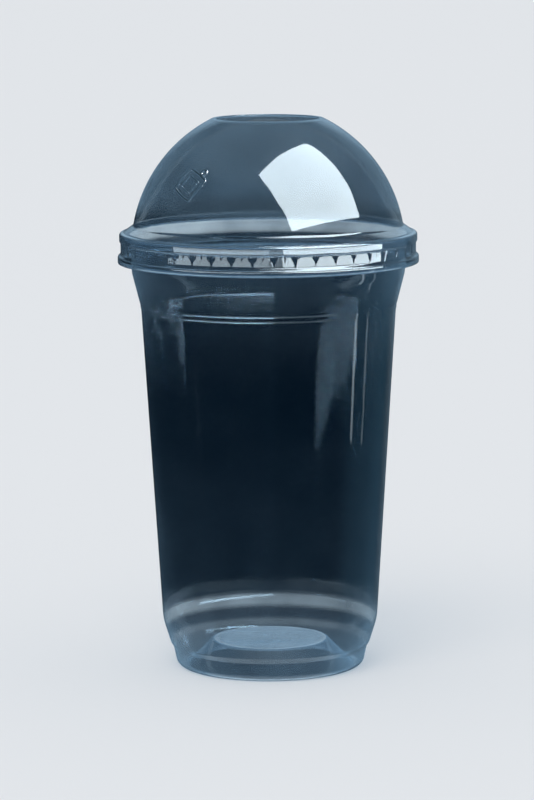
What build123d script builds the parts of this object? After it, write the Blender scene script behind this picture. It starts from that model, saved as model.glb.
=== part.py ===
"""Clear plastic cold-drink cup with a snap-on dome lid.

The cup and the lid are each one thin thermoformed sheet. Each is drawn as the
outer line of that sheet, thickened inwards by its wall and turned about +Z.
The origin is the centre of the circle that the cup stands on.
"""

import os
from math import cos, hypot, radians, sin, tan

from build123d import *

os.makedirs("parts", exist_ok=True)

# ------------------------------------------------------------------ sizes, mm

# Cup, overall
cup_height = 149.0  # table to the top of the rolled rim
rim_diameter = 98.0  # across the outside of the rolled rim
cup_wall = 0.38

# Cup, foot and raised base
base_disc_radius = 19.6  # flat raised centre
base_rise = 8.5  # underside of the raised centre above the table
base_disc_bend = 1.2
foot_radius = 31.8  # outside of the foot at the table, before rounding
foot_inner_radius = 27.9  # where the cone under the base meets the table
foot_inner_bend = 1.0
foot_outer_bend = 3.0

# Cup, step and stacking shoulder above the foot
step_low_height = 6.6
step_low_out = 1.4  # beyond the foot radius
step_low_bend = 1.0
step_top_height = 8.2
step_top_out = 2.4
step_top_bend = 1.5
shoulder_height = 16.2
shoulder_out = 4.9
shoulder_bend = 18.0

# Cup, tapered side and flared collar, heights measured down from the rim's top
side_top_drop = 26.0
side_top_inset = 5.75  # side radius inside the rim radius
line_step = 0.22  # each of two small steps outwards at the top of the side
line_rise = 0.5  # height of a step
line_pitch = 1.7  # from one step to the next
line_bend = 0.5
collar_top_drop = 13.5
collar_top_inset = 2.7
collar_bend = 6.0

# Cup, rolled rim
curl_radius = 1.25  # outside of the curl
curl_turn = 260.0  # degrees that the sheet turns through

# Fit of the lid on the cup
seat_clearance = 0.3  # lid's flange off the rolled rim, square to the flange
snap_clearance = 0.25  # tips of the skirt's flutes outside the rim

# Lid, overall
lid_wall = 0.4
dome_height = 38.5  # rim's top to the lid's top
hole_radius = 17.6
hole_land = 1.2  # flat ring round the hole
dome_lean = 11.0  # degrees from upright at the dome's foot
dome_foot_inset = 3.3  # where the dome's side would meet the flange, inside the rim radius
dome_foot_bend = 1.2
dome_foot_straight = 0.3  # straight left between that bend and the dome's arc

# Lid, sloping flange and the bead over the rim
flange_slope = 36.0  # degrees
groove_outset = 0.1  # groove between flange and bead, outside the rim radius
groove_bend = 0.5
bead_fall = 0.2  # bead's shoulder below the groove
bead_step = 0.45  # bead beyond the skirt's neck
bead_height = 2.8
bead_bend = 1.0
bead_neck_rise = 0.5
bead_neck_bend = 0.6

# Lid, fluted skirt and lip
skirt_height = 10.1  # groove to the lip's edge
lip_height = 2.0
lip_step = 1.0  # lip beyond the neck
lip_rise = 0.9  # height of the sloping step onto the lip
lip_bend = 0.8
flute_depth = 0.4
flute_count = 45
flute_half_width = 0.75
flute_height = 3.1
flute_back_reach = 0.3  # how far a flute's back runs into the wall
flute_overrun = 0.15  # how far its front runs on past its point, clear of the wall

# Lid, oval mark pressed out of the skirt
mark_angle = -130.0  # degrees round from +X
mark_width = 3.4
mark_height = 4.6
mark_rise = 0.6

# ------------------------------------------------------------- derived places

rim_radius = rim_diameter / 2
curl_centre_radius = rim_radius - curl_radius
curl_centre_height = cup_height - curl_radius
curl_sheet_radius = curl_radius - cup_wall  # the outer line, inside the curl
collar_radius = rim_radius - collar_top_inset
side_top_radius = rim_radius - side_top_inset
side_top_height = cup_height - side_top_drop
line_radius = side_top_radius + line_step
second_line_height = side_top_height + line_pitch

neck_inner_radius = rim_radius + snap_clearance + flute_depth
neck_radius = neck_inner_radius + lid_wall
bead_radius = neck_radius + bead_step
lip_radius = neck_radius + lip_step

lid_top = cup_height + dome_height
dome_top_radius = hole_radius + hole_land

# The sloping flange passes the round of the rolled rim at the seat's clearance.
flange_fall = tan(radians(flange_slope))
flange_over_rim = curl_centre_height + (curl_radius + seat_clearance + lid_wall) / cos(
    radians(flange_slope)
)


def flange_height(radius):
    """Height of the flange's upper face at a radius."""
    return flange_over_rim + (curl_centre_radius - radius) * flange_fall


# The dome's arc starts just above the bend that joins its side to the flange.
dome_foot_radius = rim_radius - dome_foot_inset
dome_foot_height = flange_height(dome_foot_radius)
dome_foot_turn = 90 - dome_lean - flange_slope
dome_foot_leg = dome_foot_straight + dome_foot_bend * tan(radians(dome_foot_turn / 2))
dome_start_radius = dome_foot_radius - dome_foot_leg * sin(radians(dome_lean))
dome_start_height = dome_foot_height + dome_foot_leg * cos(radians(dome_lean))

groove_radius = rim_radius + groove_outset
groove_height = flange_height(groove_radius)
bead_shoulder_height = groove_height - bead_fall
bead_low_height = bead_shoulder_height - bead_height
neck_top_height = bead_low_height - bead_neck_rise
lip_low_height = groove_height - skirt_height
lip_high_height = lip_low_height + lip_height
neck_low_height = lip_high_height + lip_rise

# ------------------------------------------------------------------------ cup

with BuildPart() as cup:
    with BuildSketch(Plane.XZ):
        with BuildLine():
            FilletPolyline(
                (0, base_rise),
                (base_disc_radius, base_rise),
                (foot_inner_radius, 0),
                (foot_radius, 0),
                (foot_radius + step_low_out, step_low_height),
                (foot_radius + step_top_out, step_top_height),
                (foot_radius + shoulder_out, shoulder_height),
                (side_top_radius, side_top_height),
                (line_radius, side_top_height + line_rise),
                (line_radius, second_line_height),
                (line_radius + line_step, second_line_height + line_rise),
                (collar_radius, cup_height - collar_top_drop),
                (curl_centre_radius - curl_sheet_radius, curl_centre_height),
                radius=[
                    base_disc_bend,
                    foot_inner_bend,
                    foot_outer_bend,
                    step_low_bend,
                    step_top_bend,
                    shoulder_bend,
                    line_bend,
                    line_bend,
                    line_bend,
                    line_bend,
                    collar_bend,
                ],
            )
            CenterArc(
                (curl_centre_radius, curl_centre_height),
                curl_sheet_radius,
                start_angle=180,
                arc_size=-curl_turn,
            )
            offset(amount=cup_wall, side=Side.LEFT)
        make_face()
    revolve(axis=Axis.Z)

cup.part.label = "cup"
export_step(cup.part, "parts/cup.step")

# ------------------------------------------------------------------- dome lid

# A flute is a V pressed into the neck. Its crease starts at full depth under the
# bead and leans outwards, so that the V narrows to a point above the lip.
flute_slant = (flute_depth, 0, -flute_height)
flute_flare = flute_half_width / flute_depth
flute_run = hypot(flute_depth, flute_height)

with BuildPart() as flute_front:
    with BuildSketch(Plane.XY.offset(neck_top_height)):
        with BuildLine():
            Polyline(
                (neck_radius - flute_depth, 0),
                (neck_radius + flute_depth, 2 * flute_half_width),
                (neck_radius + flute_depth, -2 * flute_half_width),
                close=True,
            )
        make_face()
    extrude(amount=flute_run + flute_overrun, dir=flute_slant)

with BuildPart() as flute_back:
    back_half_width = (flute_depth + flute_back_reach) * flute_flare
    with BuildSketch(Plane.XY.offset(neck_top_height + lid_wall)):
        with BuildLine():
            Polyline(
                (neck_inner_radius - flute_depth, 0),
                (neck_inner_radius + flute_back_reach, back_half_width),
                (neck_inner_radius + flute_back_reach, -back_half_width),
                close=True,
            )
        make_face()
    extrude(amount=flute_run + lid_wall, dir=flute_slant)

mark_plane = Plane(
    origin=(
        neck_radius * cos(radians(mark_angle)),
        neck_radius * sin(radians(mark_angle)),
        neck_top_height - mark_height / 2,
    ),
    x_dir=(0, 0, 1),
    z_dir=(cos(radians(mark_angle)), sin(radians(mark_angle)), 0),
)

with BuildPart() as dome_lid:
    with BuildSketch(Plane.XZ):
        with BuildLine():
            FilletPolyline(
                (lip_radius, lip_low_height),
                (lip_radius, lip_high_height),
                (neck_radius, neck_low_height),
                (neck_radius, neck_top_height),
                (bead_radius, bead_low_height),
                (bead_radius, bead_shoulder_height),
                (groove_radius, groove_height),
                (dome_foot_radius, dome_foot_height),
                (dome_start_radius, dome_start_height),
                radius=[
                    lip_bend,
                    lip_bend,
                    bead_neck_bend,
                    bead_neck_bend,
                    bead_bend,
                    groove_bend,
                    dome_foot_bend,
                ],
            )
            TangentArc(
                (dome_start_radius, dome_start_height),
                (dome_top_radius, lid_top),
                tangent=(-sin(radians(dome_lean)), cos(radians(dome_lean))),
            )
            Line((dome_top_radius, lid_top), (hole_radius, lid_top))
            offset(amount=lid_wall, side=Side.LEFT)
        make_face()
    revolve(axis=Axis.Z)
    with PolarLocations(0, flute_count):
        add(flute_back.part)
    with PolarLocations(0, flute_count):
        add(flute_front.part, mode=Mode.SUBTRACT)
    # The mark is a hollow boss: its back is pressed in as far as its front stands out.
    with BuildSketch(mark_plane.offset(-lid_wall)):
        Ellipse(mark_height / 2, mark_width / 2)
    extrude(amount=lid_wall + mark_rise)
    with BuildSketch(mark_plane.offset(mark_rise - lid_wall)):
        Ellipse(mark_height / 2 - lid_wall, mark_width / 2 - lid_wall)
    extrude(amount=-(mark_rise + lid_wall + flute_depth), mode=Mode.SUBTRACT)

dome_lid.part.label = "dome_lid"
export_step(dome_lid.part, "parts/dome_lid.step")
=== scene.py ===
"""Cold-drink cup with a snap-on dome lid, in smoke-blue clear plastic on a pale studio floor.

Cup and lid are each one thin sheet. Each is drawn as the outer line of that sheet,
given its wall on the inner side and turned about +Z, as on a thermoforming drawing.
Lengths are in metres. The turns of lamps and glows are in degrees from the front,
towards the right.
"""

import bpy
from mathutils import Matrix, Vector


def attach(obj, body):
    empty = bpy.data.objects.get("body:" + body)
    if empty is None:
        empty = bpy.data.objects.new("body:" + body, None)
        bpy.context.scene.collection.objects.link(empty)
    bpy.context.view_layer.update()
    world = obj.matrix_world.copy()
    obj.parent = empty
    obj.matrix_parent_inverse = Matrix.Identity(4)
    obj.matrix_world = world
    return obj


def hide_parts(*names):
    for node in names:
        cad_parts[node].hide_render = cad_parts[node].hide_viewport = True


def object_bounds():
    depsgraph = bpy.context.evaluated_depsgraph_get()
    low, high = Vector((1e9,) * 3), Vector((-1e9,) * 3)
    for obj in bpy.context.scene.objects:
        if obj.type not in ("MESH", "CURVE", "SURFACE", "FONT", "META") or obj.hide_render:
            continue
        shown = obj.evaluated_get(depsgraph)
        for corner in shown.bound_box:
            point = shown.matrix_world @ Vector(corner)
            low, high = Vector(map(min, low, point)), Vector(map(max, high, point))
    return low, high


bl_info = {
    "name": "Cold Cup with Dome Lid",
    "version": (1, 0, 0),
    "blender": (4, 5, 0),
    "location": "3D View > Sidebar > Cold Cup",
    "description": "Makes a clear plastic cup, its dome lid and a studio floor to show them on",
    "category": "Add Mesh",
}

from math import ceil, cos, pi, radians, sin, tan

import bpy
import numpy as np
from bpy.props import FloatProperty, FloatVectorProperty, IntProperty, PointerProperty
from mathutils import Vector

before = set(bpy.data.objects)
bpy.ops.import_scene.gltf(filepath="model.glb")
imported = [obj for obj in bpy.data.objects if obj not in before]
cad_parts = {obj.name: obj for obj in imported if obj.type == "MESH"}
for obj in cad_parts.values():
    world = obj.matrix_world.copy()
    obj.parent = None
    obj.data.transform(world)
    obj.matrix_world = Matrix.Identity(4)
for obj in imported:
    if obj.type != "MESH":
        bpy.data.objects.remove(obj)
cad_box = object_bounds()

MM = 0.001

# ------------------------------------------------------------------ sizes of the sections

# Cup, raised base
BASE_DISC_RADIUS = 19.6 * MM
BASE_RISE = 8.5 * MM
FOOT_INNER_RADIUS = 27.9 * MM

# Cup, step and stacking shoulder: how far out of the foot radius, and how high
STEP_LOW_OUT, STEP_LOW_HEIGHT = 1.4 * MM, 6.6 * MM
STEP_TOP_OUT, STEP_TOP_HEIGHT = 2.4 * MM, 8.2 * MM
SHOULDER_OUT, SHOULDER_HEIGHT = 4.9 * MM, 16.2 * MM

# Cup, side and collar: how far inside the rim radius, and how far below the rim's top
SIDE_TOP_INSET, SIDE_TOP_DROP = 5.75 * MM, 26.0 * MM
COLLAR_TOP_INSET, COLLAR_TOP_DROP = 2.7 * MM, 13.5 * MM
LINE_STEP, LINE_RISE, LINE_PITCH = 0.22 * MM, 0.5 * MM, 1.7 * MM
CURL_RADIUS = 1.25 * MM
CURL_TURN = radians(260)

# Cup, bends from the base's disc up to the collar
CUP_BENDS = [bend * MM for bend in (1.2, 1.0, 3.0, 1.0, 1.5, 18.0, 0.5, 0.5, 0.5, 0.5, 6.0)]

# Fit of the lid on the cup
SEAT_CLEARANCE = 0.3 * MM
SNAP_CLEARANCE = 0.25 * MM

# Lid, dome and flange
HOLE_LAND = 1.2 * MM
DOME_LEAN = radians(11)
DOME_FOOT_INSET = 3.3 * MM
DOME_FOOT_BEND = 1.2 * MM
DOME_FOOT_STRAIGHT = 0.3 * MM
FLANGE_SLOPE = radians(36)

# Lid, groove, bead, neck and lip
GROOVE_OUTSET = 0.1 * MM
BEAD_FALL, BEAD_HEIGHT, BEAD_STEP = 0.2 * MM, 2.8 * MM, 0.45 * MM
BEAD_NECK_RISE = 0.5 * MM
SKIRT_HEIGHT = 10.1 * MM
LIP_HEIGHT, LIP_STEP, LIP_RISE = 2.0 * MM, 1.0 * MM, 0.9 * MM

# Lid, bends from the lip up to the dome's foot
LID_BENDS = [bend * MM for bend in (0.8, 0.8, 0.6, 0.6, 1.0, 0.5)] + [DOME_FOOT_BEND]

# Lid, V flutes and the finer V ribs between them, and the oval mark
FLUTE_HALF_WIDTH, FLUTE_LENGTH = 1.15 * MM, 3.8 * MM
FLUTE_DEEPENING = 1.15  # a flute's depth over the nominal one
RIB_HALF_WIDTH, RIB_LENGTH = 0.5 * MM, 2.0 * MM
RIB_SHARE = 0.35  # a rib's depth over a flute's
RIBS_PER_FLUTE = 3
GROOVE_RUN_OUT = 0.25 * MM  # height over which a groove ends above the neck
OVAL_TURN = radians(-130)  # from +X
OVAL_HALF_WIDTH, OVAL_HALF_HEIGHT, OVAL_DROP = 1.9 * MM, 2.2 * MM, 2.3 * MM
OVAL_RISE = 0.45 * MM

# Dome mark: diamond outlines as (half diagonal, line's width), and a round pip
MARK_TURN = radians(-130.5)  # from +X
MARK_RISE = radians(30)  # up the dome's arc
MARK_SPIN = radians(17)
DIAMONDS = ((6.0 * MM, 0.7 * MM), (3.2 * MM, 0.5 * MM))
DIAMOND_ROUNDING = 1.12  # 1 is a sharp diamond and 2 a circle
DIAMOND_HEIGHT = 0.22 * MM
PIP_ACROSS, PIP_UP = 3.9 * MM, 4.6 * MM
PIP_RADIUS, PIP_WIDTH, PIP_HEIGHT = 1.0 * MM, 1.1 * MM, 0.3 * MM

# Fineness of the meshes
CUP_COLUMNS = 288
LID_COLUMNS_PER_FLUTE = 6
NECK_COLUMNS_PER_FLUTE = 24
NECK_ROW = 0.5 * MM
BEND_TURN, BEND_RUN = radians(9), 0.9 * MM  # longest steps round a bend
PAINTED_HIGHLIGHT_RUN = 1.0 * MM  # longest straight run where the painted highlight changes

# --------------------------------------------------------------------------- looks

PLASTIC_IOR = 1.57

# How milky the sheet is at a height in millimetres. The levels are partly real milkiness and partly painted
# light: they make the foot, the collar, the flange and the dome paler, as light falling there would.
CUP_MILK_AND_PAINTED_LIGHT = (
    (0.0, 0.07), (8.0, 0.06), (13.0, 0.04), (24.0, 0.008),
    (100.0, 0.0015), (122.0, 0.008), (132.0, 0.024), (149.0, 0.03),
)
LID_MILK_AND_PAINTED_LIGHT = ((139.0, 0.03), (147.5, 0.03), (149.0, 0.012), (154.0, 0.008), (160.0, 0.14), (187.5, 0.10))
SLANT_MILK = 8.0  # times milkier where the sheet is seen edge on
SLANT_POWER = 4.0

# Painted highlight on the cup's inner face, pale bands that stand in for the highlights and lit places there:
# how pale it is, the base by its radius, and the foot and the rim by height, in millimetres
PAINTED_HIGHLIGHT = 0.45
PAINTED_HIGHLIGHT_COLOUR = (0.70, 0.73, 0.73)
BASE_PAINTED_HIGHLIGHT = ((17.6, 0.40), (18.3, 0.80), (19.0, 0.80), (19.4, 0.04))
FOOT_PAINTED_HIGHLIGHT = (
    (0.0, 0.45), (1.0, 0.2), (6.2, 0.2), (7.0, 0.4), (8.4, 0.4), (9.2, 0.08),
    (12.8, 0.08), (13.6, 0.85), (16.6, 0.85), (17.8, 0.0),
)
RIM_PAINTED_HIGHLIGHT = ((-5.0, 0.0), (-4.0, 1.35))

LAMP_BLUE = (0.80, 0.93, 1.0)
STRIP_BLUE = (0.75, 0.9, 1.0)
LAMP_WHITE = (1.0, 1.0, 1.0)

# The room that the plastic mirrors, by how far up one looks, in degrees
ROOM = (
    (-90, (0.78, 0.92, 1.0)),
    (-52, (0.72, 0.87, 0.98)),
    (-43, (0.12, 0.20, 0.28)),
    (-34, (0.001, 0.006, 0.013)),
    (12, (0.001, 0.006, 0.013)),
    (37, (0.010, 0.018, 0.026)),
    (90, (0.010, 0.018, 0.026)),
)
# Soft glows on its walls: turn and rise, inner and outer angle, colour
BACK_GLOW = (180, 20, 8, 24, (0.34, 0.48, 0.60))
SIDE_GLOWS = (
    (160, 14, 8, 34, (0.18, 0.26, 0.32)),
    (112, -17, 8, 42, (0.06, 0.16, 0.25)),
)


class CupSizes(bpy.types.PropertyGroup):
    """Sizes of the cup"""

    height: FloatProperty(
        name="Height", description="Table to the top of the rolled rim",
        default=0.149, unit="LENGTH",
    )
    rim_diameter: FloatProperty(
        name="Rim Diameter", description="Across the outside of the rolled rim",
        default=0.098, unit="LENGTH",
    )
    foot_radius: FloatProperty(
        name="Foot Radius", description="Outside of the foot at the table, before rounding",
        default=0.0318, unit="LENGTH",
    )
    wall: FloatProperty(
        name="Wall", description="Thickness of the cup's sheet",
        default=0.00038, unit="LENGTH",
    )


class LidSizes(bpy.types.PropertyGroup):
    """Sizes of the dome lid"""

    dome_height: FloatProperty(
        name="Dome Height", description="Top of the rim to the top of the lid",
        default=0.0385, unit="LENGTH",
    )
    hole_radius: FloatProperty(
        name="Hole Radius", description="Round hole in the top of the dome",
        default=0.0176, unit="LENGTH",
    )
    wall: FloatProperty(
        name="Wall", description="Thickness of the lid's sheet",
        default=0.0004, unit="LENGTH",
    )
    flute_count: IntProperty(
        name="Flutes", description="Number of flutes round the skirt",
        default=45, min=12, max=90,
    )
    flute_depth: FloatProperty(
        name="Flute Depth", description="How deep each flute is at its top",
        default=0.0004, unit="LENGTH",
    )


class PlasticLook(bpy.types.PropertyGroup):
    """Colours of the plastic"""

    cup_tint: FloatVectorProperty(
        name="Cup Tint", description="Light that one face of the cup's wall lets through",
        default=(0.72, 0.80, 0.86), size=3, subtype="COLOR", min=0.0, max=1.0,
    )
    dome_tint: FloatVectorProperty(
        name="Dome Tint", description="Light that one face of the lid's wall lets through",
        default=(0.76, 0.83, 0.88), size=3, subtype="COLOR", min=0.0, max=1.0,
    )
    haze: FloatVectorProperty(
        name="Haze", description="Colour of the milkiness in the plastic",
        default=(0.205, 0.33, 0.44), size=3, subtype="COLOR", min=0.0, max=1.0,
    )


class StudioLook(bpy.types.PropertyGroup):
    """Floor and light of the studio"""

    floor_colour: FloatVectorProperty(
        name="Floor Colour", description="Colour of the studio floor",
        default=(0.78, 0.79, 0.80), size=3, subtype="COLOR", min=0.0, max=1.0,
    )
    key_strength: FloatProperty(
        name="Key Strength", description="Brightness of the softboxes in the lid's gloss",
        default=10.5, min=0.0,
    )


# ----------------------------------------------------------------- lines of the sheets


def turned(way, angle):
    """A flat direction turned to the left by an angle."""
    return Vector((way.x * cos(angle) - way.y * sin(angle), way.x * sin(angle) + way.y * cos(angle)))


def left_of(way):
    return Vector((-way.y, way.x))


def bent_line(corners, bends, near=0.12 * MM):
    """Points along straight runs whose inner corners are bent to radii, and the way it runs at each.

    Every bend has a point a little way off each of its ends, so that the shading of the
    straight runs stays straight.
    """
    corners = [Vector(c) for c in corners]
    points, ways = [corners[0]], [(corners[1] - corners[0]).normalized()]
    for before, corner, after, bend in zip(corners, corners[1:], corners[2:], bends):
        way_in, way_out = (corner - before).normalized(), (after - corner).normalized()
        turn = -way_in.angle_signed(way_out)  # positive is to the left
        start = corner - way_in * (bend * tan(abs(turn) / 2))
        side = left_of(way_in) * (1 if turn > 0 else -1)
        centre = start + side * bend
        points.append(start - way_in * near)
        ways.append(way_in)
        count = max(2, ceil(abs(turn) / BEND_TURN), ceil(abs(turn) * bend / BEND_RUN))
        for i in range(count + 1):
            points.append(centre + turned(start - centre, turn * i / count))
            ways.append(turned(way_in, turn * i / count))
        points.append(points[-1] + way_out * near)
        ways.append(way_out)
    points.append(corners[-1])
    ways.append((corners[-1] - corners[-2]).normalized())
    return points, ways


def turned_arc(centre, radius, start, turn, count):
    """Points on an arc from a start angle through a turn, and the way it runs at each."""
    points, ways = [], []
    for i in range(count + 1):
        a = start + turn * i / count
        points.append(Vector(centre) + radius * Vector((cos(a), sin(a))))
        ways.append(Vector((-sin(a), cos(a))) * (1 if turn > 0 else -1))
    return points, ways


def with_short_runs(points, ways, longest, spans):
    """The same line with its straight runs inside the given spans of height cut into shorter ones."""
    cut, cut_ways = [points[0]], [ways[0]]
    for p, way in zip(points[1:], ways[1:]):
        before = cut[-1]
        inside = any(low < (before.y + p.y) / 2 < high for low, high in spans)
        parts = ceil((p - before).length / longest) if inside else 1
        cut += [before.lerp(p, (i + 1) / parts) for i in range(parts)]
        cut_ways += [way] * parts
    return cut, cut_ways


def sheet_line(points, ways, wall, closed_on_axis):
    """The closed section of a sheet: its outer line, a rounded edge, and its inner line back."""

    def rounded_edge(point, way, side):
        """Three points round an edge that faces along a way, starting from one side of the sheet."""
        middle = point + left_of(way) * wall / 2
        out = -way if side > 0 else way
        spokes = [left_of(way) * side * cos(t) + out * sin(t) for t in (pi / 4, pi / 2, 3 * pi / 4)]
        return [middle + spoke * (wall / 2) for spoke in spokes]

    inner = [p + left_of(w) * wall for p, w in zip(points, ways)]
    section = list(points) + rounded_edge(points[-1], ways[-1], -1) + inner[::-1]
    if not closed_on_axis:
        section += rounded_edge(points[0], ways[0], 1)
    return section


# --------------------------------------------------------------------------- meshes


def bridge(first, first_count, second, second_count):
    """Faces between two rings of vertices whose counts are equal or a whole multiple of each other."""
    if first_count == second_count:
        n = first_count
        return [(first + i, first + (i + 1) % n, second + (i + 1) % n, second + i) for i in range(n)]
    faces = []
    if first_count < second_count:
        n, k = first_count, second_count // first_count
        for i in range(n):
            many = tuple(second + (i * k + j) % second_count for j in range(k, -1, -1))
            faces.append((first + i, first + (i + 1) % n) + many)
    else:
        n, k = second_count, first_count // second_count
        for i in range(n):
            many = tuple(first + (i * k + j) % first_count for j in range(k + 1))
            faces.append(many + (second + (i + 1) % n, second + i))
    return faces


def turned_mesh(name, rings, closed_on_axis, painted_highlight=None):
    """A mesh of rings about +Z.

    A ring is (radii, heights, count), with radii and heights numbers or arrays.
    The last argument is how much painted highlight, as pale bands, each ring carries, by the ring's number.
    """
    painted_highlight = painted_highlight or {}
    verts, faces, starts, total = [], [], [], 0
    for radius, height, count in rings:
        starts.append(total)
        total += count
        angle = np.arange(count) * 2 * pi / count
        x, y = radius * np.cos(angle), radius * np.sin(angle)
        verts.append(np.column_stack((x, y, np.broadcast_to(height, count))))
    pairs = list(zip(range(len(rings) - 1), range(1, len(rings))))
    if not closed_on_axis:
        pairs.append((len(rings) - 1, 0))
    for a, b in pairs:
        na, nb = rings[a][2], rings[b][2]
        if na == 1:
            faces += [(starts[a], starts[b] + (i + 1) % nb, starts[b] + i) for i in range(nb)]
        elif nb == 1:
            faces += [(starts[a] + i, starts[a] + (i + 1) % na, starts[b]) for i in range(na)]
        else:
            faces += bridge(starts[a], na, starts[b], nb)
    mesh = bpy.data.meshes.new(name)
    mesh.from_pydata(np.concatenate(verts), [], faces)
    mark_painted_highlight(mesh, [painted_highlight.get(i, 0.0) for i, ring in enumerate(rings) for _ in range(ring[2])])
    mesh.validate()
    mesh.shade_smooth()
    return mesh


# Marks each vertex with how much painted highlight it carries, as an attribute.
def mark_painted_highlight(mesh, levels):
    mesh.attributes.new("painted_highlight", "FLOAT", "POINT").data.foreach_set("value", levels)


def raised_line(path, ups, width, rise, sides=8):
    """A closed rounded bead that follows a closed path lying on a surface whose ups are given."""
    count = len(path)
    verts, faces = [], []
    for i, (p, up) in enumerate(zip(path, ups)):
        along = (path[(i + 1) % count] - path[i - 1]).normalized()
        across = along.cross(up)
        for j in range(sides):
            a = 2 * pi * j / sides
            verts.append(p + across * (width / 2 * cos(a)) + up * (rise * sin(a)))
    for i in range(count):
        for j in range(sides):
            k, m = (i + 1) % count, (j + 1) % sides
            faces.append((i * sides + j, i * sides + m, k * sides + m, k * sides + j))
    return verts, faces


def add_piece(name, mesh, material):
    piece = bpy.data.objects.new(name, mesh)
    mesh.materials.append(material)
    bpy.context.scene.collection.objects.link(piece)
    return piece


# ------------------------------------------------------------------------- material


def node(tree, kind, **inputs):
    """A node with some of its inputs set; their names have underscores for spaces."""
    made = tree.nodes.new(kind)
    for key, value in inputs.items():
        made.inputs[key.replace("_", " ")].default_value = value
    return made


def worked_out(tree, operation, first, second):
    """The value of a math node of two values, each a socket or a number."""
    made = tree.nodes.new("ShaderNodeMath")
    made.operation = operation
    for place, value in zip(made.inputs, (first, second)):
        if isinstance(value, float):
            place.default_value = value
        else:
            tree.links.new(value, place)
    return made.outputs[0]


def mixed(tree, share, first, second):
    """A mix of two shaders whose share of the second is a socket or a number."""
    made = tree.nodes.new("ShaderNodeMixShader")
    if isinstance(share, float):
        made.inputs[0].default_value = share
    else:
        tree.links.new(share, made.inputs[0])
    tree.links.new(first, made.inputs[1])
    tree.links.new(second, made.inputs[2])
    return made.outputs[0]


def set_stops(ramp, stops):
    """Give a colour ramp its stops, as (position, colour) from the lowest up."""
    elements = ramp.elements
    while len(elements) < len(stops):
        elements.new(0.5)
    for element, (position, _) in zip(elements, stops):
        element.position = position
    for element, (_, colour) in zip(elements, stops):
        element.color = (*colour, 1)


def milk_and_painted_light_share(tree, place, patch, milk_and_painted_light):
    """How milky the sheet is: by its height, where the levels also paint paler bands of light, in faint
    patches, and more where it is seen slanting.
    """
    link = tree.links.new
    lowest, highest = milk_and_painted_light[0][0], milk_and_painted_light[-1][0]
    split = tree.nodes.new("ShaderNodeSeparateXYZ")
    link(place, split.inputs[0])
    height = node(tree, "ShaderNodeMapRange", From_Min=lowest * MM, From_Max=highest * MM)
    link(split.outputs["Z"], height.inputs["Value"])
    level = tree.nodes.new("ShaderNodeValToRGB")
    level.color_ramp.interpolation = "EASE"
    set_stops(level.color_ramp, [((z - lowest) / (highest - lowest), (m, m, m)) for z, m in milk_and_painted_light])
    link(height.outputs[0], level.inputs[0])
    # A slanting look goes through more of the sheet, so the milkiness grows towards its outline.
    facing = node(tree, "ShaderNodeLayerWeight", Blend=0.5)
    slant = node(tree, "ShaderNodeMapRange", To_Min=1.0, To_Max=SLANT_MILK)
    link(worked_out(tree, "POWER", facing.outputs["Facing"], SLANT_POWER), slant.inputs["Value"])
    even = worked_out(tree, "MULTIPLY", level.outputs["Color"], patch)
    return worked_out(tree, "MULTIPLY", even, slant.outputs[0])


def wavy_normal(tree, place):
    """The sheet's slight waviness from forming, stretched along the draw."""
    stretch = tree.nodes.new("ShaderNodeMapping")
    stretch.inputs["Scale"].default_value = (1.0, 1.0, 0.35)
    tree.links.new(place, stretch.inputs["Vector"])
    wave = node(tree, "ShaderNodeTexNoise", Scale=70.0, Detail=2.0, Roughness=0.5)
    tree.links.new(stretch.outputs[0], wave.inputs["Vector"])
    bump = node(tree, "ShaderNodeBump", Strength=0.1, Distance=0.0012)
    tree.links.new(wave.outputs["Fac"], bump.inputs["Height"])
    return bump.outputs[0]


def cloudy(tree, colour, through):
    """A flat scattering shader, of which a share scatters the light on through the sheet."""
    bounced = node(tree, "ShaderNodeBsdfDiffuse", Color=(*colour, 1))
    passed = node(tree, "ShaderNodeBsdfTranslucent", Color=(*colour, 1))
    return mixed(tree, through, bounced.outputs[0], passed.outputs[0])


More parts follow.
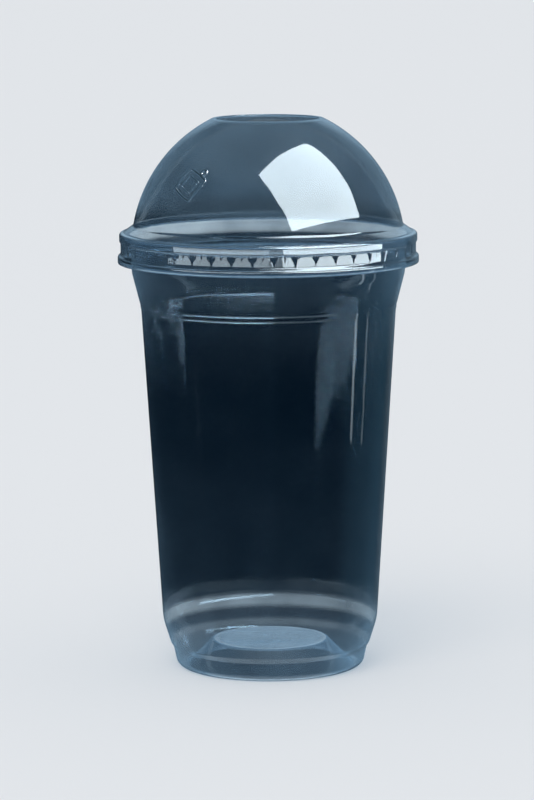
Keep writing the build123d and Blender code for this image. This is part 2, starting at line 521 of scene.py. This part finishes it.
def plastic(name, tint, haze, milk_and_painted_light):
    """Clear sheet plastic with a wet gloss, a milky haze whose levels by height partly paint light, and a
    painted highlight of pale bands on marked inner faces.
    """
    material = bpy.data.materials.new(name)
    material.use_nodes = True
    tree = material.node_tree
    tree.nodes.clear()
    link = tree.links.new

    place = tree.nodes.new("ShaderNodeTexCoord").outputs["Object"]
    cloud = node(tree, "ShaderNodeTexNoise", Scale=55.0, Detail=3.0, Roughness=0.55)
    link(place, cloud.inputs["Vector"])
    patch = node(tree, "ShaderNodeMapRange", From_Min=0.3, From_Max=0.7, To_Min=0.7, To_Max=1.3)
    link(cloud.outputs["Fac"], patch.inputs["Value"])
    rough = node(tree, "ShaderNodeMapRange", From_Min=0.3, From_Max=0.7, To_Min=0.02, To_Max=0.06)
    link(cloud.outputs["Fac"], rough.inputs["Value"])

    clear = tree.nodes.new("ShaderNodeBsdfPrincipled")
    clear.inputs["Base Color"].default_value = (*tint, 1)
    clear.inputs["IOR"].default_value = PLASTIC_IOR
    clear.inputs["Transmission Weight"].default_value = 1.0
    link(rough.outputs[0], clear.inputs["Roughness"])
    link(wavy_normal(tree, place), clear.inputs["Normal"])
    # Share of milkiness, whose levels by height also paint light.
    share = milk_and_painted_light_share(tree, place, patch.outputs[0], milk_and_painted_light)
    body = mixed(tree, share, clear.outputs[0], cloudy(tree, haze, 0.4))

    # Painted highlight: pale bands on the marked inner faces, seen from within and not through the sheet's
    # outer face.
    marked = tree.nodes.new("ShaderNodeAttribute")
    marked.attribute_name = "painted_highlight"
    side = tree.nodes.new("ShaderNodeNewGeometry")
    front = node(tree, "ShaderNodeMapRange", To_Min=PAINTED_HIGHLIGHT, To_Max=0.0)
    link(side.outputs["Backfacing"], front.inputs["Value"])
    inner = worked_out(tree, "MULTIPLY", marked.outputs["Fac"], front.outputs[0])
    inner = worked_out(tree, "MULTIPLY", inner, patch.outputs[0])
    # The pale shader mixed in here is the painted highlight.
    with_painted_highlight = mixed(tree, inner, body, cloudy(tree, PAINTED_HIGHLIGHT_COLOUR, 0.5))

    # Light reaches what is behind the thin sheet without bending.
    path = tree.nodes.new("ShaderNodeLightPath")
    unbent = worked_out(tree, "MAXIMUM", path.outputs["Is Shadow Ray"], path.outputs["Is Diffuse Ray"])
    through = node(tree, "ShaderNodeBsdfTransparent", Color=(*[c ** 0.5 * 0.96 for c in tint], 1))
    out = tree.nodes.new("ShaderNodeOutputMaterial")
    link(mixed(tree, unbent, with_painted_highlight, through.outputs[0]), out.inputs["Surface"])
    return material


# ------------------------------------------------------------------- cup, lid and mark


def curl_middle(cup):
    """Radius and height of the middle of the rolled rim."""
    return cup.rim_diameter / 2 - CURL_RADIUS, cup.height - CURL_RADIUS


def flange_height(radius, lid, cup):
    """Height of the flange's upper face, which passes the rolled rim at the seat's clearance."""
    curl_radius, curl_height = curl_middle(cup)
    over_rim = curl_height + (CURL_RADIUS + SEAT_CLEARANCE + lid.wall) / cos(FLANGE_SLOPE)
    return over_rim + (curl_radius - radius) * tan(FLANGE_SLOPE)


def dome_arc(lid, cup):
    """The dome's arc: its centre, its radius, where it starts and the edge of the flat round the hole."""
    foot_radius = cup.rim_diameter / 2 - DOME_FOOT_INSET
    foot_height = flange_height(foot_radius, lid, cup)
    leg = DOME_FOOT_STRAIGHT + DOME_FOOT_BEND * tan((pi / 2 - DOME_LEAN - FLANGE_SLOPE) / 2)
    start = Vector((foot_radius - leg * sin(DOME_LEAN), foot_height + leg * cos(DOME_LEAN)))
    land = Vector((lid.hole_radius + HOLE_LAND, cup.height + lid.dome_height))
    across = Vector((-cos(DOME_LEAN), -sin(DOME_LEAN)))
    chord = land - start
    radius = chord.length_squared / (2 * chord.dot(across))
    return start + across * radius, radius, start, land


def level_at(where, stops):
    """The level between stops of (place, level) in millimetres."""
    places, levels = zip(*stops)
    return float(np.interp(where / MM, places, levels))


def inner_painted_highlight(at, cup):
    """How much painted highlight the cup's inner face carries at a place on its section."""
    on_disc = at.x < BASE_DISC_RADIUS + 2.4 * MM and at.y < BASE_RISE + 1.0 * MM
    if on_disc or at.x < FOOT_INNER_RADIUS + 0.6 * MM:
        return level_at(at.x, BASE_PAINTED_HIGHLIGHT)
    if at.x > cup.rim_diameter / 2 - 2.1 * MM:
        return 0.0
    return level_at(at.y, FOOT_PAINTED_HIGHLIGHT) + level_at(at.y - cup.height, RIM_PAINTED_HIGHLIGHT)


class COLDCUP_OT_cup(bpy.types.Operator):
    """Make the cup as one thin sheet with a raised base, a stacking shoulder and a rolled rim"""

    bl_idname = "coldcup.cup"
    bl_label = "Make Cup"

    def execute(self, context):
        sizes, look = context.scene.cold_cup, context.scene.cold_cup_plastic
        rim, top, foot = sizes.rim_diameter / 2, sizes.height, sizes.foot_radius
        side_radius, side_top = rim - SIDE_TOP_INSET, top - SIDE_TOP_DROP
        line_radius, second_line = side_radius + LINE_STEP, side_top + LINE_PITCH
        # The sheet's outer line runs inside the curl, and its inner line round the outside of it.
        curl_radius, curl_height = curl_middle(sizes)
        sheet_radius = CURL_RADIUS - sizes.wall
        points, ways = bent_line(
            [
                (0, BASE_RISE),
                (BASE_DISC_RADIUS, BASE_RISE),
                (FOOT_INNER_RADIUS, 0),
                (foot, 0),
                (foot + STEP_LOW_OUT, STEP_LOW_HEIGHT),
                (foot + STEP_TOP_OUT, STEP_TOP_HEIGHT),
                (foot + SHOULDER_OUT, SHOULDER_HEIGHT),
                (side_radius, side_top),
                (line_radius, side_top + LINE_RISE),
                (line_radius, second_line),
                (line_radius + LINE_STEP, second_line + LINE_RISE),
                (rim - COLLAR_TOP_INSET, top - COLLAR_TOP_DROP),
                (curl_radius - sheet_radius, curl_height),
            ],
            CUP_BENDS,
        )
        curl_points, curl_ways = turned_arc((curl_radius, curl_height), sheet_radius, pi, -CURL_TURN, 26)
        points, ways = points + curl_points[1:], ways + curl_ways[1:]
        # Short runs near the foot and the rim keep each pale band of painted highlight sharp.
        spans = [(-1.0 * MM, 20.0 * MM), (top - 8.0 * MM, top)]
        points, ways = with_short_runs(points, ways, PAINTED_HIGHLIGHT_RUN, spans)
        section = sheet_line(points, ways, sizes.wall, closed_on_axis=True)
        rings = [(p.x, p.y, 1 if p.x < 1e-7 else CUP_COLUMNS) for p in section]
        # Only the inner face carries the painted highlight: its line follows the outer one and the rounded
        # edge.
        painted_highlight = {i: inner_painted_highlight(p, sizes) for i, p in enumerate(section) if i >= len(points)}
        mesh = turned_mesh("cup_shell", rings, closed_on_axis=True, painted_highlight=painted_highlight)
        material = plastic("clear_cup_plastic", look.cup_tint, look.haze, CUP_MILK_AND_PAINTED_LIGHT)
        cup = add_piece("cup_shell", mesh, material)
        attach(cup, "cup")
        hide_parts("cup")
        return {"FINISHED"}


def v_groove(across, down, half_width, depth, length):
    """Depth of a V groove at distances across from its crease; it narrows to a point at its length."""
    if down < 0:
        crease = depth * max(0.0, 1 + down / GROOVE_RUN_OUT)
    else:
        crease = depth * max(0.0, 1 - down / length)
    return np.maximum(0, crease - across * depth / half_width)


def off_nearest(angle, pitch):
    """How far each angle is from the nearest whole multiple of a pitch."""
    return np.abs((angle + pitch / 2) % pitch - pitch / 2)


def oval_mark(angle, down, neck):
    """Rise of the ribbed oval pressed out of the skirt."""
    across = ((angle - OVAL_TURN + pi) % (2 * pi) - pi) * neck / OVAL_HALF_WIDTH
    up = (OVAL_DROP - down) / OVAL_HALF_HEIGHT
    inside = np.clip((1 - np.hypot(across, up)) / 0.22, 0, 1)
    ribs = 0.75 + 0.25 * np.cos(2 * pi * across * 2.5)
    return OVAL_RISE * inside * inside * (3 - 2 * inside) * ribs


class COLDCUP_OT_lid(bpy.types.Operator):
    """Make the dome lid as one thin sheet with a top hole, a sloping flange, a bead and a fluted skirt"""

    bl_idname = "coldcup.lid"
    bl_label = "Make Dome Lid"

    def execute(self, context):
        sizes, cup, look = context.scene.cold_lid, context.scene.cold_cup, context.scene.cold_cup_plastic
        rim = cup.rim_diameter / 2
        neck = rim + SNAP_CLEARANCE + sizes.flute_depth + sizes.wall
        bead, lip = neck + BEAD_STEP, neck + LIP_STEP
        groove_radius, foot_radius = rim + GROOVE_OUTSET, rim - DOME_FOOT_INSET
        groove = flange_height(groove_radius, sizes, cup)
        bead_top = groove - BEAD_FALL
        bead_low = bead_top - BEAD_HEIGHT
        neck_top = bead_low - BEAD_NECK_RISE
        lip_low = groove - SKIRT_HEIGHT
        lip_top = lip_low + LIP_HEIGHT
        neck_low = lip_top + LIP_RISE
        centre, dome_radius, start, land = dome_arc(sizes, cup)
        points, ways = bent_line(
            [
                (lip, lip_low),
                (lip, lip_top),
                (neck, neck_low),
                (neck, neck_top),
                (bead, bead_low),
                (bead, bead_top),
                (groove_radius, groove),
                (foot_radius, flange_height(foot_radius, sizes, cup)),
                start,
            ],
            LID_BENDS,
        )
        # The dome's arc leaves the flange's bend at its lean and ends on the flat round the hole.
        from_angle = np.arctan2(start.y - centre.y, start.x - centre.x)
        end_angle = np.arctan2(land.y - centre.y, land.x - centre.x)
        dome_points, dome_ways = turned_arc(centre, dome_radius, from_angle, end_angle - from_angle, 40)
        inwards = Vector((-1, 0))
        points += dome_points[1:] + [land + inwards * (0.1 * MM), Vector((sizes.hole_radius, land.y))]
        ways += dome_ways[1:] + [inwards, inwards]
        section = sheet_line(points, ways, sizes.wall, closed_on_axis=False)

        fine, coarse = (n * sizes.flute_count for n in (NECK_COLUMNS_PER_FLUTE, LID_COLUMNS_PER_FLUTE))
        angle = np.arange(fine) * 2 * pi / fine
        flute_pitch = 2 * pi / sizes.flute_count
        rib_pitch = flute_pitch / RIBS_PER_FLUTE
        across_flute = off_nearest(angle, flute_pitch) * neck
        across_rib = off_nearest(angle + rib_pitch / 2, rib_pitch) * neck
        flute_depth = sizes.flute_depth * FLUTE_DEEPENING
        rib_depth = sizes.flute_depth * RIB_SHARE

        def neck_ring(at):
            """The ring at a place on the neck's section, with flutes, ribs and the oval mark."""
            down = neck_top - at.y
            flutes = v_groove(across_flute, down, FLUTE_HALF_WIDTH, flute_depth, FLUTE_LENGTH)
            ribs = v_groove(across_rib, down, RIB_HALF_WIDTH, rib_depth, RIB_LENGTH)
            mark = oval_mark(angle, down, neck)
            return np.where(mark > 0, at.x + mark, at.x - np.maximum(flutes, ribs)), at.y, fine

        rings, previous = [], None
        for p in section:
            high_enough = neck_low - 0.3 * MM < p.y < neck_top + 0.6 * MM
            in_neck = high_enough and abs(p.x - neck) < 1.2 * MM
            if in_neck and previous is not None:
                extra = int(abs(p.y - previous.y) / NECK_ROW)
                rings += [neck_ring(previous.lerp(p, (i + 1) / (extra + 1))) for i in range(extra)]
            rings.append(neck_ring(p) if in_neck else (p.x, p.y, coarse))
            previous = p
        mesh = turned_mesh("lid_shell", rings, closed_on_axis=False)
        material = plastic("clear_lid_plastic", look.dome_tint, look.haze, LID_MILK_AND_PAINTED_LIGHT)
        lid = add_piece("lid_shell", mesh, material)
        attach(lid, "lid")
        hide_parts("dome_lid")
        return {"FINISHED"}


class COLDCUP_OT_dome_mark(bpy.types.Operator):
    """Make the plain diamond outlines and the round pip that stand out on the dome"""

    bl_idname = "coldcup.dome_mark"
    bl_label = "Make Dome Mark"

    def execute(self, context):
        centre, dome_radius, _, _ = dome_arc(context.scene.cold_lid, context.scene.cold_cup)

        def on_dome(across, up):
            """A place on the dome's face, across and up from the mark's middle, and the way out."""
            angle = MARK_RISE + up / dome_radius
            out = Vector((cos(angle), sin(angle)))
            at = centre + out * dome_radius
            spin = MARK_TURN + across / at.x
            return (
                Vector((at.x * cos(spin), at.x * sin(spin), at.y)),
                Vector((out.x * cos(spin), out.x * sin(spin), out.y)),
            )

        verts, faces = [], []

        def add_line(shape, width, height):
            spots = [on_dome(across, up) for across, up in shape]
            more, bands = raised_line([at for at, _ in spots], [out for _, out in spots], width, height)
            faces.extend(tuple(len(verts) + i for i in band) for band in bands)
            verts.extend(more)

        # The diamond's corners are rounded: it is a circle pulled out towards four points.
        for size, width in DIAMONDS:
            diamond = []
            for a in (2 * pi * i / 96 for i in range(96)):
                pull = abs(cos(a)) ** DIAMOND_ROUNDING + abs(sin(a)) ** DIAMOND_ROUNDING
                reach = size / pull ** (1 / DIAMOND_ROUNDING)
                diamond.append((reach * cos(a + MARK_SPIN), reach * sin(a + MARK_SPIN)))
            add_line(diamond, width, DIAMOND_HEIGHT)
        round_pip = []
        for a in (2 * pi * i / 32 for i in range(32)):
            round_pip.append((PIP_ACROSS + PIP_RADIUS * cos(a), PIP_UP + PIP_RADIUS * sin(a)))
        add_line(round_pip, PIP_WIDTH, PIP_HEIGHT)
        mesh = bpy.data.meshes.new("dome_mark")
        mesh.from_pydata(verts, [], faces)
        # The mark carries no painted highlight.
        mark_painted_highlight(mesh, [0.0] * len(verts))
        mesh.shade_smooth()
        mark = add_piece("dome_mark", mesh, bpy.data.materials["clear_lid_plastic"])
        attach(mark, "lid")
        return {"FINISHED"}


# --------------------------------------------------------------------------- studio


def around(turn, far, height):
    """A place at a turn from the front, a distance off the axis and a height."""
    return Vector((far * sin(radians(turn)), -far * cos(radians(turn)), height))


def softbox(name, place, target, size, strength, colour=LAMP_BLUE, only=None, in_gloss=True, through=False):
    """A rectangular lamp whose face has the given brightness.

    It lights one collection only, if given. A lamp that isn't in the gloss lights the
    milkiness instead. through says whether it also shows through a clear wall.
    """
    lamp = bpy.data.lights.new(name, "AREA")
    lamp.shape = "RECTANGLE"
    lamp.size, lamp.size_y = size
    lamp.energy = strength * pi * size[0] * size[1]
    lamp.color = colour
    box = bpy.data.objects.new(name, lamp)
    box.location = place
    box.rotation_mode = "QUATERNION"
    box.rotation_quaternion = (Vector(target) - place).to_track_quat("-Z", "Y")
    box.visible_camera = False
    box.visible_diffuse = not in_gloss
    box.visible_glossy = in_gloss
    box.visible_transmission = through
    if only is not None:
        box.light_linking.receiver_collection = only
    bpy.context.scene.collection.objects.link(box)


def level_window(name, turn, height, size, strength, far=0.8, **looks):
    """A softbox at a turn from the front that faces the axis on the level."""
    softbox(name, around(turn, far, height), (0, 0, height), size, strength, **looks)


def collection_of(name, pieces):
    made = bpy.data.collections.new(name)
    for piece in pieces:
        made.objects.link(bpy.context.scene.objects[piece])
    return made


def with_glow(tree, way, room, glow):
    """The room's colour with a soft glow added, full at its inner angle and gone at the outer one."""
    turn, rise, inner, outer, colour = glow
    link = tree.links.new
    toward = tree.nodes.new("ShaderNodeVectorMath")
    toward.operation = "DOT_PRODUCT"
    toward.inputs[1].default_value = around(turn, cos(radians(rise)), sin(radians(rise)))
    link(way, toward.inputs[0])
    edges = {"From_Min": cos(radians(outer)), "From_Max": cos(radians(inner))}
    level = node(tree, "ShaderNodeMapRange", **edges)
    level.interpolation_type = "SMOOTHSTEP"
    link(toward.outputs["Value"], level.inputs["Value"])
    lit = tree.nodes.new("ShaderNodeMix")
    lit.data_type, lit.blend_type = "RGBA", "ADD"
    link(level.outputs[0], lit.inputs[0])
    link(room, lit.inputs[6])
    lit.inputs[7].default_value = (*colour, 1)
    return lit.outputs[2]


def studio_air(scene):
    """The world: pale for the camera and the floor, and a dark room over a pale table for the plastic."""
    world = bpy.data.worlds.new("studio_air")
    scene.world = world
    world.use_nodes = True
    tree = world.node_tree
    link = tree.links.new
    pale = tree.nodes["Background"]
    pale.inputs["Color"].default_value = (0.93, 0.96, 1.0, 1)
    pale.inputs["Strength"].default_value = 0.75
    way = tree.nodes.new("ShaderNodeTexCoord").outputs["Generated"]
    split = tree.nodes.new("ShaderNodeSeparateXYZ")
    link(way, split.inputs[0])
    rise = node(tree, "ShaderNodeMapRange", From_Min=-1.0, From_Max=1.0)
    link(split.outputs["Z"], rise.inputs["Value"])
    room_ramp = tree.nodes.new("ShaderNodeValToRGB")
    set_stops(room_ramp.color_ramp, [((1 + sin(radians(up))) / 2, colour) for up, colour in ROOM])
    link(rise.outputs[0], room_ramp.inputs[0])
    seen_through = with_glow(tree, way, room_ramp.outputs[0], BACK_GLOW)
    mirrored = seen_through
    for glow in SIDE_GLOWS:
        mirrored = with_glow(tree, way, mirrored, glow)
    room = tree.nodes.new("ShaderNodeBackground")
    link(mirrored, room.inputs["Color"])
    behind = tree.nodes.new("ShaderNodeBackground")
    link(seen_through, behind.inputs["Color"])
    path = tree.nodes.new("ShaderNodeLightPath")
    glossy = mixed(tree, path.outputs["Is Glossy Ray"], pale.outputs[0], room.outputs[0])
    through = mixed(tree, path.outputs["Is Transmission Ray"], glossy, behind.outputs[0])
    link(through, tree.nodes["World Output"].inputs["Surface"])


def studio_floor(scene, colour):
    rings = [(20.0, 0, 96), (4, 0, 96), (1, 0, 96), (0, 0, 1)]
    material = bpy.data.materials.new("pale_floor_paint")
    material.use_nodes = True
    paint = material.node_tree.nodes["Principled BSDF"]
    paint.inputs["Base Color"].default_value = (*colour, 1)
    paint.inputs["Roughness"].default_value = 0.9
    paint.inputs["Specular IOR Level"].default_value = 0.1
    floor = add_piece("studio_floor", turned_mesh("studio_floor", rings, True), material)
    floor.location.z = cad_box[0].z
    # The plastic sees the room's pale table in place of the floor.
    floor.visible_glossy = False
    floor.visible_transmission = False


def soft_sun(scene):
    """Soft daylight from the upper left, for the floor and the milkiness."""
    sun = bpy.data.lights.new("soft_sun", "SUN")
    sun.energy = 1.2
    sun.angle = radians(40)
    piece = bpy.data.objects.new("soft_sun", sun)
    piece.rotation_euler = (radians(35), radians(-14), 0)
    piece.visible_glossy = False
    piece.visible_transmission = False
    scene.collection.objects.link(piece)


def studio_lamps(key_strength):
    """Softboxes and windows that show in the gloss, and two fill lamps."""
    lid_only = collection_of("lid_only", ("lid_shell", "dome_mark"))
    cup_only = collection_of("cup_only", ("cup_shell",))

    # Key softbox, high at the front right: its face shows in the dome.
    key_rise, key_far, dome_middle = radians(54.4), 0.85, 0.165
    key_place = around(54, key_far * cos(key_rise), dome_middle + key_far * sin(key_rise))
    key_faces = around(53, cos(radians(35)), sin(radians(35)))
    softbox("key_softbox", key_place, key_place - key_faces, (1.04, 1.0), 1.6 * key_strength, only=lid_only)

    # Three low ones, side by side, that show in the skirt and the bead.
    level_window("low_softbox", 53.3, 0.0785, (1.477, 0.147), 1.3 * key_strength, only=lid_only)
    level_window("left_window", -37.7, 0.054, (1.264, 0.10), 5.2, only=lid_only)
    level_window("middle_window", 5.6, 0.066, (0.15, 0.12), 2.2, only=lid_only)

    # A low window that shows in the bends of the cup's shoulder and collar.
    level_window("low_window", 41, 0.168, (1.6, 0.066), 15.0, only=cup_only, through=True)

    # Fill lamps that light the cup's milkiness and its painted highlight bands, and aren't mirrored.
    fill = {"colour": LAMP_WHITE, "only": cup_only, "in_gloss": False}
    fill_place = around(60, 0.8 * cos(radians(30)), 0.1 + 0.8 * sin(radians(30)))
    softbox("fill_lamp", fill_place, (0, 0, 0.1), (0.5, 0.5), 17.0, **fill)
    softbox("low_fill_lamp", Vector((-0.75, -0.27, 0.1)), (0, 0, 0.02), (0.4, 0.2), 30.0, **fill)

    # Two narrow strip lamps at the right, whose lines run down the cup's side.
    for turn, width, strength in ((80, 0.012, 2.4), (94, 0.009, 1.2)):
        strip = {"far": 0.27, "colour": STRIP_BLUE}
        level_window("strip_lamp_%d" % turn, turn, 0.07, (width, 0.095), strength, **strip)


def studio_camera(scene):
    """A long lens at the front, a little above the lid and looking slightly down."""
    camera_data = bpy.data.cameras.new("camera")
    camera_data.lens = 173.4
    camera_data.sensor_width = 36
    camera_data.clip_end = 100
    camera = bpy.data.objects.new("camera", camera_data)
    camera.location = (-0.0007, -1.3, 0.281)
    camera.rotation_euler = (radians(90 - 8.3), 0, 0)
    camera.rotation_euler.rotate_axis("Z", radians(-0.3))
    scene.collection.objects.link(camera)
    scene.camera = camera


class COLDCUP_OT_studio(bpy.types.Operator):
    """Make the pale floor, the soft lights and the camera"""

    bl_idname = "coldcup.studio"
    bl_label = "Make Studio"

    def execute(self, context):
        scene, look = context.scene, context.scene.cold_cup_studio
        scene.view_settings.view_transform = "Standard"
        # A look through cup and lid crosses many faces of clear sheet.
        scene.cycles.transparent_max_bounces = 64
        scene.cycles.max_bounces = 40
        scene.cycles.glossy_bounces = 12
        scene.cycles.transmission_bounces = 32
        studio_floor(scene, look.floor_colour)
        studio_air(scene)
        soft_sun(scene)
        studio_lamps(look.key_strength)
        studio_camera(scene)
        return {"FINISHED"}


# --------------------------------------------------------------------------- add-on


class COLDCUP_PT_panel(bpy.types.Panel):
    """Sizes, colours and makers of the cold cup"""

    bl_idname = "COLDCUP_PT_panel"
    bl_label = "Cold Cup with Dome Lid"
    bl_space_type = "VIEW_3D"
    bl_region_type = "UI"
    bl_category = "Cold Cup"

    def draw(self, context):
        scene = context.scene
        for group, maker in (
            (scene.cold_cup, COLDCUP_OT_cup),
            (scene.cold_lid, COLDCUP_OT_lid),
            (scene.cold_cup_plastic, COLDCUP_OT_dome_mark),
            (scene.cold_cup_studio, COLDCUP_OT_studio),
        ):
            box = self.layout.box()
            for name in group.__annotations__:
                box.prop(group, name)
            box.operator(maker.bl_idname)


classes = (
    CupSizes, LidSizes, PlasticLook, StudioLook,
    COLDCUP_OT_cup, COLDCUP_OT_lid, COLDCUP_OT_dome_mark, COLDCUP_OT_studio, COLDCUP_PT_panel,
)


def register():
    for c in classes:
        bpy.utils.register_class(c)
    bpy.types.Scene.cold_cup = PointerProperty(type=CupSizes)
    bpy.types.Scene.cold_lid = PointerProperty(type=LidSizes)
    bpy.types.Scene.cold_cup_plastic = PointerProperty(type=PlasticLook)
    bpy.types.Scene.cold_cup_studio = PointerProperty(type=StudioLook)


def unregister():
    del bpy.types.Scene.cold_cup_studio
    del bpy.types.Scene.cold_cup_plastic
    del bpy.types.Scene.cold_lid
    del bpy.types.Scene.cold_cup
    for c in reversed(classes):
        bpy.utils.unregister_class(c)


def main():
    register()
    bpy.ops.coldcup.cup()
    bpy.ops.coldcup.lid()
    bpy.ops.coldcup.dome_mark()
    bpy.ops.coldcup.studio()


if __name__ == "__main__":
    main()
